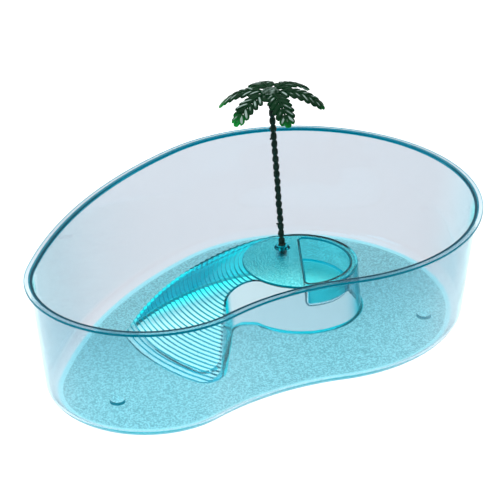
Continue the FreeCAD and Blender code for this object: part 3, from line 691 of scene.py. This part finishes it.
def bead_ring(row):
    """One ring of the beaded stem, which wanders a little and is a little rough."""
    height = FIRST_BEAD - BEAD_PITCH / 2 + BEAD_PITCH * row / BEAD_ROWS
    phase = (row % BEAD_ROWS) / BEAD_ROWS
    swell = 0.0
    if 0 < phase < BEAD_SHARE:
        swell = math.sin(math.pi * min(1, BEAD_STRETCH * phase)) ** BEAD_FULLNESS
    bead = CORE_RADIUS + (BEAD_RADIUS - CORE_RADIUS) * swell
    wander = noise.noise_vector(on_axis(height * WANDER_PACE)) * BEAD_WANDER
    centre = Vector((wander.x, wander.y, height))
    ring = ring_at(centre, bead, TRUNK_SIDES)
    for point in ring:
        away = Vector((point.x - centre.x, point.y - centre.y, 0))
        across, along = point.x * ROUGH_PACE, point.y * ROUGH_PACE
        rough = noise.noise(Vector((across, along, height * ROUGH_PACE_UP)))
        point += away * rough * BEAD_ROUGHNESS
    return ring


def beaded_trunk():
    """The plug, the foot, the uneven beads and the peg, as one skin, and a few moulding nubs."""
    noise.seed_set(WANDER_SEED)
    rings = []
    for radius, height in (
        (PLUG_RADIUS - 0.4, PLUG_GAP - SOCKET_DEPTH),
        (PLUG_RADIUS, PLUG_GAP - SOCKET_DEPTH + 0.4),
        (PLUG_RADIUS, 0.0),
        (TRUNK_FOOT_RADIUS - 0.3, 0.02),
        (TRUNK_FOOT_RADIUS, 0.4),
        (TRUNK_FOOT_RADIUS - 0.2, 1.1),
        (TRUNK_FOOT_RADIUS - 1.1, 1.7),
    ):
        rings.append(ring_at(on_axis(height), radius, TRUNK_SIDES))
    rings += [bead_ring(row) for row in range(BEAD_COUNT * BEAD_ROWS + 1)]
    for radius, height in (
        (PEG_RADIUS, TRUNK_LENGTH - PEG_SUNK),
        (PEG_RADIUS, TRUNK_LENGTH + PEG_SHOULDER),
        (PEG_END_RADIUS, TRUNK_LENGTH + PEG_LENGTH),
    ):
        rings.append(ring_at(on_axis(height), radius, TRUNK_SIDES))
    left = polar(NUB_REACH, NUB_BEARING)
    nubs = [knob(Vector((left.x, left.y, height)), NUB_RADIUS) for height in NUB_HEIGHTS]
    points, faces = gathered([skin(rings)] + nubs)
    stand = trunk_stand()
    return finished(new_piece("beaded_trunk", [stand @ point for point in points], faces), 50)


def on_frond(reach, aside, height):
    """A point over the frond's arched middle surface, which droops a little to its sides too."""
    radius = FROND_BEND - FROND_MIDDLE
    run = reach - FROND_CREST_REACH
    rise = math.sqrt(radius ** 2 - run ** 2)
    away = (radius + height - FROND_DROOP * aside ** 2) / radius
    return Vector((
        FROND_CREST_REACH + run * away,
        aside,
        FROND_CREST_HEIGHT - FROND_BEND + rise * away,
    ))


def crests(rows, count, peak):
    """How far up on its crest each point of a lying form is, for rings that start at the side,
    scaled by the painted highlight's peak.
    """
    upward = [max(0.0, math.sin(math.tau * step / count)) for step in range(count)]
    along = [math.sin(math.pi * row / rows) for row in range(rows + 1)]
    return [peak * up ** CREST_SHARPNESS * here for here in along for up in upward]


def finger(start, end, half_width, crown, rows):
    """A closed rounded leaflet between two points of a frond's plan, widest past its middle."""
    ahead = (end - start).normalized()
    side = Vector((-ahead.y, ahead.x))
    length = (end - start).length
    rings = []
    for row in range(rows + 1):
        along = (1 - math.cos(math.pi * row / rows)) / 2
        swell = math.sin(LEAFLET_BLUNTNESS + (math.pi - LEAFLET_BLUNTNESS) * row / rows)
        full = max(LEAFLET_TIP_SHARE, math.sqrt(abs(swell)))
        full *= LEAFLET_FULLNESS + LEAFLET_SWELL * along
        centre = start + ahead * length * along
        ring = []
        for step in range(LEAFLET_SIDES):
            angle = math.tau * step / LEAFLET_SIDES
            out = math.cos(angle) * half_width * full
            up = math.sin(angle)
            height = up * (crown if up > 0 else FROND_UNDERSIDE) * full
            height -= LEAFLET_DIP * full * max(0.0, up) ** DIP_SHARPNESS
            place = centre + side * out
            ring.append(on_frond(place.x, place.y, height))
        rings.append(ring)
    return skin(rings)


def midrib():
    """The raised rib along a frond, which narrows towards the tip."""
    rings = []
    for row in range(RIB_ROWS + 1):
        along = row / RIB_ROWS
        reach = HUB_FOOT + (FROND_REACH - 2 * TIP_HALF_WIDTH - HUB_FOOT) * along
        half, high = RIB_HALF_WIDTH - RIB_TAPER * along, RIB_HEIGHT - RIB_TAPER * along
        ring = []
        for step in range(RIB_SIDES):
            angle = math.tau * step / RIB_SIDES
            up = math.sin(angle)
            tall = high if up > 0 else FROND_UNDERSIDE
            ring.append(on_frond(reach, half * math.cos(angle), up * tall))
        rings.append(ring)
    return skin(rings)


def frond(number):
    """Points, faces and crests of one frond: a rib, two rows of leaflets and a round tip."""
    forms = [midrib()]
    painted_highlight = crests(RIB_ROWS, RIB_SIDES, RIB_CREST)
    for side in (1, -1):
        for leaflet in range(LEAFLET_COUNT):
            root = FIRST_LEAFLET + leaflet * LEAFLET_PITCH
            fall = (leaflet - (LEAFLET_COUNT - 3) / 2) / (LEAFLET_COUNT - 1.8)
            uneven = noise.noise(Vector((number * 3.1, leaflet * 1.7, side * 5.3)))
            length = LEAFLET_LENGTH * math.sqrt(1 - fall ** 2) * (1 + LENGTH_UNEVENNESS * uneven)
            slant = LEAFLET_SLANT * (1 + SLANT_UNEVENNESS * uneven)
            reach = length + LEAFLET_OVERRUN
            start = Vector((root - LEAFLET_ROOT, ROOT_ASIDE * side))
            end = Vector((root + reach * math.cos(slant), side * reach * math.sin(slant)))
            forms.append(finger(start, end, LEAFLET_HALF_WIDTH, LEAFLET_CROWN, LEAFLET_ROWS))
            painted_highlight += crests(LEAFLET_ROWS, LEAFLET_SIDES, CREST_UNEVENNESS * (1 + uneven))
    tip_start = Vector((FROND_REACH - 2 * TIP_HALF_WIDTH - TIP_OVERLAP, 0))
    tip_end = Vector((FROND_REACH - 0.1, 0))
    forms.append(finger(tip_start, tip_end, TIP_HALF_WIDTH, TIP_CROWN, TIP_ROWS))
    painted_highlight += crests(TIP_ROWS, LEAFLET_SIDES, TIP_CREST)
    points, faces = gathered(forms)
    turn = Matrix.Rotation(math.tau * number / FROND_COUNT, 4, "Z")
    return [turn @ point for point in points], faces, painted_highlight


def crown():
    """The six fronds and the fluted hub that holds them."""
    hub, painted_highlight = [], []
    for radius, height, flutes, crest in (
        (HUB_FOOT - 0.4, 0.0, 0.0, 0.0),
        (HUB_FOOT, 0.4, 0.0, 0.0),
        (HUB_FOOT + 1.4, 1.8, 0.02, 0.0),
        (HUB_RADIUS - 1.0, HUB_WAIST - 0.6, 0.03, 0.0),
        (HUB_RADIUS, HUB_WAIST + 0.6, 0.04, 0.0),
        (HUB_RADIUS - 0.1, HUB_WAIST + 2.0, 0.05, 0.0),
        (HUB_RADIUS - 0.9, HUB_HEIGHT - 2.4, 0.06, HUB_CREST),
        (HUB_RADIUS - 2.4, HUB_HEIGHT - 1.0, 0.06, HUB_CREST),
        (HUB_RADIUS - 4.2, HUB_HEIGHT - 0.3, 0.05, HUB_CREST),
        (1.0, HUB_HEIGHT, 0.0, HUB_CREST),
    ):
        hub.append(ring_at(on_axis(height), radius, HUB_SIDES, flutes))
        painted_highlight += [crest] * HUB_SIDES
    forms = [skin(hub)]
    for number in range(FROND_COUNT):
        points, faces, crest = frond(number)
        forms.append((points, faces))
        painted_highlight += crest
    points, faces = gathered(forms)
    stand = trunk_stand() @ Matrix.Translation((0, 0, TRUNK_LENGTH))
    piece = new_piece("palm_fronds", [stand @ point for point in points], faces)
    # The crest attribute carries the painted highlight's strength
    piece.data.attributes.new("crest", "FLOAT", "POINT").data.foreach_set("value", painted_highlight)
    return finished(piece, 60)


# Materials

class Value:
    """A number, colour or direction that comes out of a node."""

    def __init__(self, tree, socket):
        self.tree = tree
        self.socket = socket

    def feed(self, socket):
        self.tree.links.new(self.socket, socket)

    def maths(self, operation, first, second):
        node = self.tree.nodes.new("ShaderNodeMath")
        node.operation = operation
        for socket, value in zip(node.inputs, (first, second)):
            give(socket, value)
        return Value(self.tree, node.outputs[0])

    def __add__(self, other):
        return self.maths("ADD", self, other)

    def __radd__(self, other):
        return self.maths("ADD", other, self)

    def __sub__(self, other):
        return self.maths("SUBTRACT", self, other)

    def __rsub__(self, other):
        return self.maths("SUBTRACT", other, self)

    def __mul__(self, other):
        return self.maths("MULTIPLY", self, other)

    def __rmul__(self, other):
        return self.maths("MULTIPLY", other, self)


def give(socket, value):
    """Sets a socket, or feeds it from a node."""
    if isinstance(value, Value):
        value.feed(socket)
    else:
        socket.default_value = value


class Finish:
    """A material whose surface is one principled shader."""

    def __init__(self, name, **constants):
        self.material = bpy.data.materials.new(name)
        self.material.use_nodes = True
        self.tree = self.material.node_tree
        self.surface = self.tree.nodes["Principled BSDF"]
        for socket, value in constants.items():
            self.surface.inputs[socket.replace("_", " ")].default_value = value

    def node(self, kind, settings=None, sockets=None, output=0):
        node = self.tree.nodes.new(kind)
        for setting, value in (settings or {}).items():
            setattr(node, setting, value)
        for socket, value in (sockets or {}).items():
            give(node.inputs[socket], value)
        return Value(self.tree, node.outputs[output])

    def mix(self, factor, first, second):
        """The first colour where the factor is 0, and the second where it is 1."""
        sockets = {0: factor, 6: first, 7: second}
        return self.node("ShaderNodeMix", {"data_type": "RGBA"}, sockets, 2)

    def fade(self, value, low, high):
        """0 below the low value, 1 above the high one, and smooth between them."""
        return self.node(
            "ShaderNodeMapRange",
            {"interpolation_type": "SMOOTHSTEP"},
            {"Value": value, "From Min": low, "From Max": high},
        )

    def grain(self, size, detail=2.0):
        """Noise about 0.5, with this size of grain in millimetres."""
        place = self.node("ShaderNodeTexCoord", output="Object")
        return self.node(
            "ShaderNodeTexNoise",
            {"noise_dimensions": "3D"},
            {"Vector": place, "Scale": 1 / (size * MM), "Detail": detail},
            "Fac",
        )

    def mark(self, name):
        return self.node("ShaderNodeAttribute", {"attribute_name": name}, output="Fac")

    def axes(self, vector):
        """The three numbers of a direction or a place."""
        return [self.node("ShaderNodeSeparateXYZ", None, {0: vector}, axis) for axis in range(3)]

    def paint(self, socket, value):
        give(self.surface.inputs[socket], value)

    def bump(self, height, depth):
        """Unevenness of this depth in millimetres."""
        sockets = {"Strength": 1.0, "Distance": depth * MM, "Height": height}
        self.paint("Normal", self.node("ShaderNodeBump", None, sockets))


CLEAR = (0.70, 0.82, 0.87, 1)
# Painted shade: the back walls' darker grey
SHADED_BACK_WALL = (0.505, 0.54, 0.59, 1)
GRAZED = (0.32, 0.50, 0.58, 1)
SHADED_ISLAND_SIDE = (0.46, 0.60, 0.65, 1)
NEAR_FLOOR = (0.20, 0.78, 0.86, 1)
# Painted shade: the floor's darker back half
SHADED_FAR_FLOOR = (0.13, 0.65, 0.78, 1)
FLOOR_SPECK = (0.05, 0.28, 0.35, 1)
TREAD_CYAN = (0.26, 0.82, 0.88, 1)
PLATFORM_CYAN = (0.06, 1.0, 1.0, 1)
PLATFORM_SPECK = (0.0, 0.40, 0.52, 1)
# Painted shade across the ramp's treads: a dark band, then deep cyan with a faint painted glow
RAMP_SHADE_BAND = (0.02, 0.26, 0.34, 1)
FOLD_CYAN = (0.0, 0.42, 0.54, 1)
DEEP_CYAN = (0.0, 0.95, 1.0, 1)
RAMP_PAINTED_GLOW = (0.0, 0.090, 0.120, 1)
UNTINTED = (1.0, 1.0, 1.0, 1)
# Painted shade on the lines and edges, and a faint painted glow on them
LINE_SHADE = (0.0, 0.20, 0.30, 1)
LINE_GLOW = (0.0, 0.110, 0.150, 1)
EDGE_SHADE = (0.0, 0.04, 0.07, 1)
EDGE_GLOW = (0.0, 0.045, 0.075, 1)
ABSORBED = (0.35, 0.84, 0.90, 1)
ABSORPTION = 20.0
NO_GLOW = (0, 0, 0, 1)

TRUNK_GRAIN = 2.2
FROND_GRAIN = 3.5
TABLE_GRAIN = 40.0

TRUNK_DARK = (0.001, 0.006, 0.005, 1)
TRUNK_GREEN = (0.006, 0.026, 0.018, 1)
FROND_DARK = (0.0002, 0.009, 0.003, 1)
FROND_GREEN = (0.0006, 0.032, 0.008, 1)
# Painted light on the lowest frond tips
LIT_TIP_GREEN = (0.006, 0.24, 0.035, 1)
# The painted highlight's pale grey-green
HIGHLIGHT_PAINT = (0.22, 0.30, 0.27, 1)
TABLE_SHADE = (0.93, 0.93, 0.93, 1)
TABLE_WHITE = (0.95, 0.95, 0.95, 1)

# Level directions in the tank's own frame, chosen for the camera's view, along which the painted
# shade on the clear plastic sets in
TO_BACK = (0.40, 0.92)
ACROSS_RAMP = (0.66, 0.75)
TO_ISLAND_BACK = (0.74, 0.67)

# From and to, in metres, along them or upwards; the ramp begins at a squared distance from the
# platform's centre
BACK_HALF = (-0.05, 0.05)
ISLAND_BACK_HALF = (-0.010, 0.010)
RAMP_SHADED_SIDE = (0.006, 0.022)
RAMP_SHADE_START = (-0.014, 0.016)
RAMP_BEGINS = (0.060 ** 2, 0.080 ** 2)
ABOVE_FLOOR = (0.010, 0.038)
ABOVE_PLATFORM = (0.055, 0.060)
LIT_TIPS_END = (0.150, 0.160)

# Between which values of a slope, a glancing view or a grain a look sets in
FACING_FRONT = (0.0, -0.3)
FACING_UP = (0.90, 0.99)
WALL_GLANCE = (0.35, 0.80)
RIM_GLANCE = (0.75, 0.98)
SIDE_GLANCE = (0.35, 0.70)
SPECKS = (0.42, 0.58)
HIGHLIGHT_SPREAD = (0.86, 1.18)

STIPPLE_GRAIN = 1.2
STIPPLE_DEPTH = 0.25
RIPPLE_GRAIN = 14.0
RIPPLE_SHARE = 0.25
RIM_GLANCE_SHARE = 0.9
WELL_SHARE = 0.8
SIDE_SHARE = 0.9
SMOOTH = 0.03
FLOOR_ROUGHNESS = 0.30
PLATFORM_SMOOTHING = 0.20
TREAD_ROUGHNESS = 0.05


def lean(direction, x, y):
    """How far a place or a slope lies along a level direction."""
    return direction[0] * x + direction[1] * y


def clear_plastic():
    """Clear blue moulded plastic: painted shade on the back walls, the back floor, the island's
    front sides and the ramp's far side, a stippled floor, deep cyan folds, dark edges of painted
    shade and a faint painted glow.
    """
    finish = Finish(
        "clear_plastic",
        Transmission_Weight=1.0,
        IOR=1.49,
        Specular_IOR_Level=0.2,
        Specular_Tint=(0.0, 0.3, 0.4, 1),
        Emission_Strength=1.0,
    )
    x, y, z = finish.axes(finish.node("ShaderNodeNewGeometry", output="Position"))
    normal = finish.axes(finish.node("ShaderNodeNewGeometry", output="Normal"))
    outwards = 1 - 2 * finish.node("ShaderNodeNewGeometry", output="Backfacing")
    grazing = finish.node("ShaderNodeLayerWeight", None, {"Blend": 0.5}, "Facing")
    marks = [finish.mark(name) for name in SURFACES]
    edge, line, stipple, tread, in_well, side, foot, fold, under = marks
    from_centre = x - BIG_LOBE_X * MM
    out_along_ramp = finish.fade(from_centre * from_centre + y * y, *RAMP_BEGINS)
    behind = finish.fade(lean(TO_BACK, x, y), *BACK_HALF)
    across_ramp = lean(ACROSS_RAMP, x, y)
    facing_back = lean(TO_ISLAND_BACK, normal[0], normal[1]) * outwards
    facing_front = finish.fade(facing_back, *FACING_FRONT)
    level = finish.fade(normal[2] * outwards, *FACING_UP)
    flat = level * (1 - finish.fade(z, *ABOVE_PLATFORM))
    raised = finish.fade(z, *ABOVE_FLOOR)
    speckle = finish.grain(STIPPLE_GRAIN)
    speckled = finish.fade(speckle, *SPECKS) * stipple

    # Painted shade: the back half of the wall is painted a darker grey than the front half, and
    # only the front takes the grazing teal
    wall = finish.mix(behind, CLEAR, SHADED_BACK_WALL)
    near = 1 - behind * (1 - facing_front)
    wall = finish.mix(finish.fade(grazing, *WALL_GLANCE) * near, wall, GRAZED)
    wall = finish.mix(finish.fade(grazing, *RIM_GLANCE) * RIM_GLANCE_SHARE, wall, DEEP_CYAN)
    # Painted shade: the island's sides that face the front are painted a darker grey-cyan, teal
    # where seen at a glance, while those facing the back are left untinted
    island_front = 1 - finish.fade(lean(TO_ISLAND_BACK, from_centre, y), *ISLAND_BACK_HALF)
    shaded_front_side = finish.mix(finish.fade(grazing, *SIDE_GLANCE), SHADED_ISLAND_SIDE, FOLD_CYAN)
    wall = finish.mix(side, wall, finish.mix(island_front, UNTINTED, shaded_front_side))
    wall = finish.mix(under, wall, UNTINTED)

    # Painted shade: the floor's back half is painted a darker cyan than its front half
    floor = finish.mix(behind, NEAR_FLOOR, SHADED_FAR_FLOOR)
    floor = finish.mix(tread, finish.mix(speckled, floor, FLOOR_SPECK), TREAD_CYAN)
    platform = finish.mix(speckled, PLATFORM_CYAN, PLATFORM_SPECK)
    colour = finish.mix(flat, wall, finish.mix(raised, floor, platform))
    colour = finish.mix(in_well * WELL_SHARE, colour, DEEP_CYAN)
    # Painted shade: across the ramp the treads turn from pale to a dark cyan band and then to deep
    # cyan on the far side
    deep = finish.fade(across_ramp, *RAMP_SHADED_SIDE)
    shaded_ramp = finish.mix(deep, RAMP_SHADE_BAND, DEEP_CYAN)
    colour = finish.mix(tread * finish.fade(across_ramp, *RAMP_SHADE_START), colour, shaded_ramp)
    colour = finish.mix(side * out_along_ramp * SIDE_SHARE, colour, FOLD_CYAN)
    colour = finish.mix(fold, colour, FOLD_CYAN)
    # Painted shade: the lines and edges are painted dark teal, standing in for the dark that bent
    # light gives the plastic's edges
    colour = finish.mix(line, colour, LINE_SHADE)
    # Painted shade: the outside of the basin's foot is painted dark teal only where it faces the
    # front
    colour = finish.mix(foot * facing_front, colour, LINE_SHADE)
    colour = finish.mix(edge, colour, EDGE_SHADE)
    finish.paint("Base Color", colour)

    # Painted light: a faint teal glow on the lines, the edges and the ramp's far side, though the
    # plastic gives no light
    glow = finish.mix(tread * deep, NO_GLOW, RAMP_PAINTED_GLOW)
    glow = finish.mix(edge, finish.mix(line, glow, LINE_GLOW), EDGE_GLOW)
    finish.paint("Emission Color", glow)
    stippled = stipple * (FLOOR_ROUGHNESS - PLATFORM_SMOOTHING * raised)
    finish.paint("Roughness", SMOOTH + stippled + tread * TREAD_ROUGHNESS)
    ripple = finish.grain(RIPPLE_GRAIN, 1.0) * RIPPLE_SHARE * (1 - stipple)
    finish.bump(speckle * stipple + ripple, STIPPLE_DEPTH)
    absorption = {"Color": ABSORBED, "Density": ABSORPTION}
    volume = finish.node("ShaderNodeVolumeAbsorption", None, absorption)
    volume.feed(finish.tree.nodes["Material Output"].inputs["Volume"])
    return finish.material


def trunk_plastic():
    """Near-black green plastic with a gloss, a little mottled, as a crude moulding is."""
    finish = Finish("trunk_plastic", IOR=1.45, Specular_IOR_Level=0.12)
    mottle = finish.grain(TRUNK_GRAIN, 3.0)
    finish.paint("Base Color", finish.mix(mottle, TRUNK_DARK, TRUNK_GREEN))
    finish.paint("Roughness", 0.22 + 0.25 * mottle)
    finish.bump(mottle, 0.35)
    return finish.material


def frond_plastic():
    """Near-black green plastic, with a painted highlight on its crests and painted light in bright
    green on its lowest tips.
    """
    finish = Finish("frond_plastic", IOR=1.45, Specular_IOR_Level=0.05)
    height = finish.axes(finish.node("ShaderNodeNewGeometry", output="Position"))[2]
    # Painted light: the lowest frond tips are painted bright green, except on their crests
    lit_tips = 1 - finish.fade(height, *LIT_TIPS_END)
    mottle = finish.grain(FROND_GRAIN)
    crest = finish.mark("crest")
    highlighted = finish.fade(crest + 0.6 * mottle, *HIGHLIGHT_SPREAD)
    colour = finish.mix(mottle, FROND_DARK, FROND_GREEN)
    colour = finish.mix(lit_tips * (1 - crest), colour, LIT_TIP_GREEN)
    # Painted highlight: a pale grey-green on the crests of the leaflets, ribs, tips and hub
    colour = finish.mix(highlighted, colour, HIGHLIGHT_PAINT)
    finish.paint("Base Color", colour)
    finish.paint("Roughness", 0.30 - 0.15 * crest)
    finish.bump(finish.grain(1.2), 0.12)
    return finish.material


def table_paint():
    """Matt white paint, very slightly uneven."""
    finish = Finish("table_paint", Roughness=0.9)
    finish.paint("Base Color", finish.mix(finish.grain(TABLE_GRAIN), TABLE_SHADE, TABLE_WHITE))
    return finish.material


def dress(piece, material, node):
    """Gives a piece its material and puts it in the place of its CAD node."""
    piece.data.materials.clear()
    piece.data.materials.append(material)
    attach(piece, "root")
    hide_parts(node)


clear_tank = tank()
# Clear plastic neither darkens the table nor throws its colour on it
clear_tank.visible_shadow = False
clear_tank.visible_diffuse = False
dress(clear_tank, clear_plastic(), "tank")
dress(beaded_trunk(), trunk_plastic(), "palm_trunk")
dress(crown(), frond_plastic(), "palm_crown")


# Studio

TABLE_HALF = 6.0
TABLE_DROP = 0.0005
LIGHT_WHITE = (0.97, 0.985, 1.0, 1)
HORIZON_END = 0.3
OVERHEAD_START = 0.8
HORIZON_STRENGTH = 0.25
OVERHEAD_STRENGTH = 1.7

table_mesh = bpy.data.meshes.new("table_top")
table_corners = [
    (-TABLE_HALF, -TABLE_HALF, 0),
    (TABLE_HALF, -TABLE_HALF, 0),
    (TABLE_HALF, TABLE_HALF, 0),
    (-TABLE_HALF, TABLE_HALF, 0),
]
table_mesh.from_pydata(table_corners, [], [(0, 1, 2, 3)])
table_top = bpy.data.objects.new("table_top", table_mesh)
bpy.context.scene.collection.objects.link(table_top)
table_top.location.z = -TABLE_DROP
table_mesh.materials.append(table_paint())


def studio_world():
    """White studio light from above, dimmer towards the horizon."""
    world = bpy.data.worlds.new("studio")
    world.use_nodes = True
    nodes, links = world.node_tree.nodes, world.node_tree.links
    direction = nodes.new("ShaderNodeTexCoord")
    axes = nodes.new("ShaderNodeSeparateXYZ")
    strength = nodes.new("ShaderNodeMapRange")
    strength.inputs["From Min"].default_value = HORIZON_END
    strength.inputs["From Max"].default_value = OVERHEAD_START
    strength.inputs["To Min"].default_value = HORIZON_STRENGTH
    strength.inputs["To Max"].default_value = OVERHEAD_STRENGTH
    background = nodes["Background"]
    background.inputs["Color"].default_value = LIGHT_WHITE
    links.new(direction.outputs["Generated"], axes.inputs["Vector"])
    links.new(axes.outputs["Z"], strength.inputs["Value"])
    links.new(strength.outputs["Result"], background.inputs["Strength"])
    bpy.context.scene.world = world


studio_world()


def softbox(name, place, size, power):
    """A square area light aimed at the tank."""
    data = bpy.data.lights.new(name, "AREA")
    data.shape = "SQUARE"
    data.size = size
    data.energy = power
    light = bpy.data.objects.new(name, data)
    bpy.context.scene.collection.objects.link(light)
    light.location = place
    light.rotation_mode = "QUATERNION"
    light.rotation_quaternion = (-Vector(place)).to_track_quat("-Z", "Y")


softbox("overhead_softbox", place=(-0.3, 0.4, 1.9), size=1.2, power=10.0)
softbox("side_softbox", place=(-1.6, 0.9, 1.1), size=0.9, power=8.0)

bpy.context.scene.view_settings.view_transform = "Standard"

# Camera, from the lines of sight in the photograph
CAMERA_PLACE = Vector((-1003.8, -909.7, 764.0))
CAMERA_BEARING = math.radians(42.18)
CAMERA_PITCH = math.radians(27.31)
CAMERA_LENS = 151.4
CAMERA_SENSOR = 36.0
CAMERA_RISE = 0.0083
CAMERA_RANGE = 20.0
camera_data = bpy.data.cameras.new("camera")
camera_data.lens = CAMERA_LENS
camera_data.sensor_width = CAMERA_SENSOR
camera_data.shift_y = CAMERA_RISE
camera_data.clip_end = CAMERA_RANGE
camera = bpy.data.objects.new("camera", camera_data)
bpy.context.scene.collection.objects.link(camera)
camera.location = CAMERA_PLACE * MM
sight = Vector((
    math.cos(CAMERA_BEARING) * math.cos(CAMERA_PITCH),
    math.sin(CAMERA_BEARING) * math.cos(CAMERA_PITCH),
    -math.sin(CAMERA_PITCH),
))
camera.rotation_mode = "QUATERNION"
camera.rotation_quaternion = sight.to_track_quat("-Z", "Y")
bpy.context.scene.camera = camera
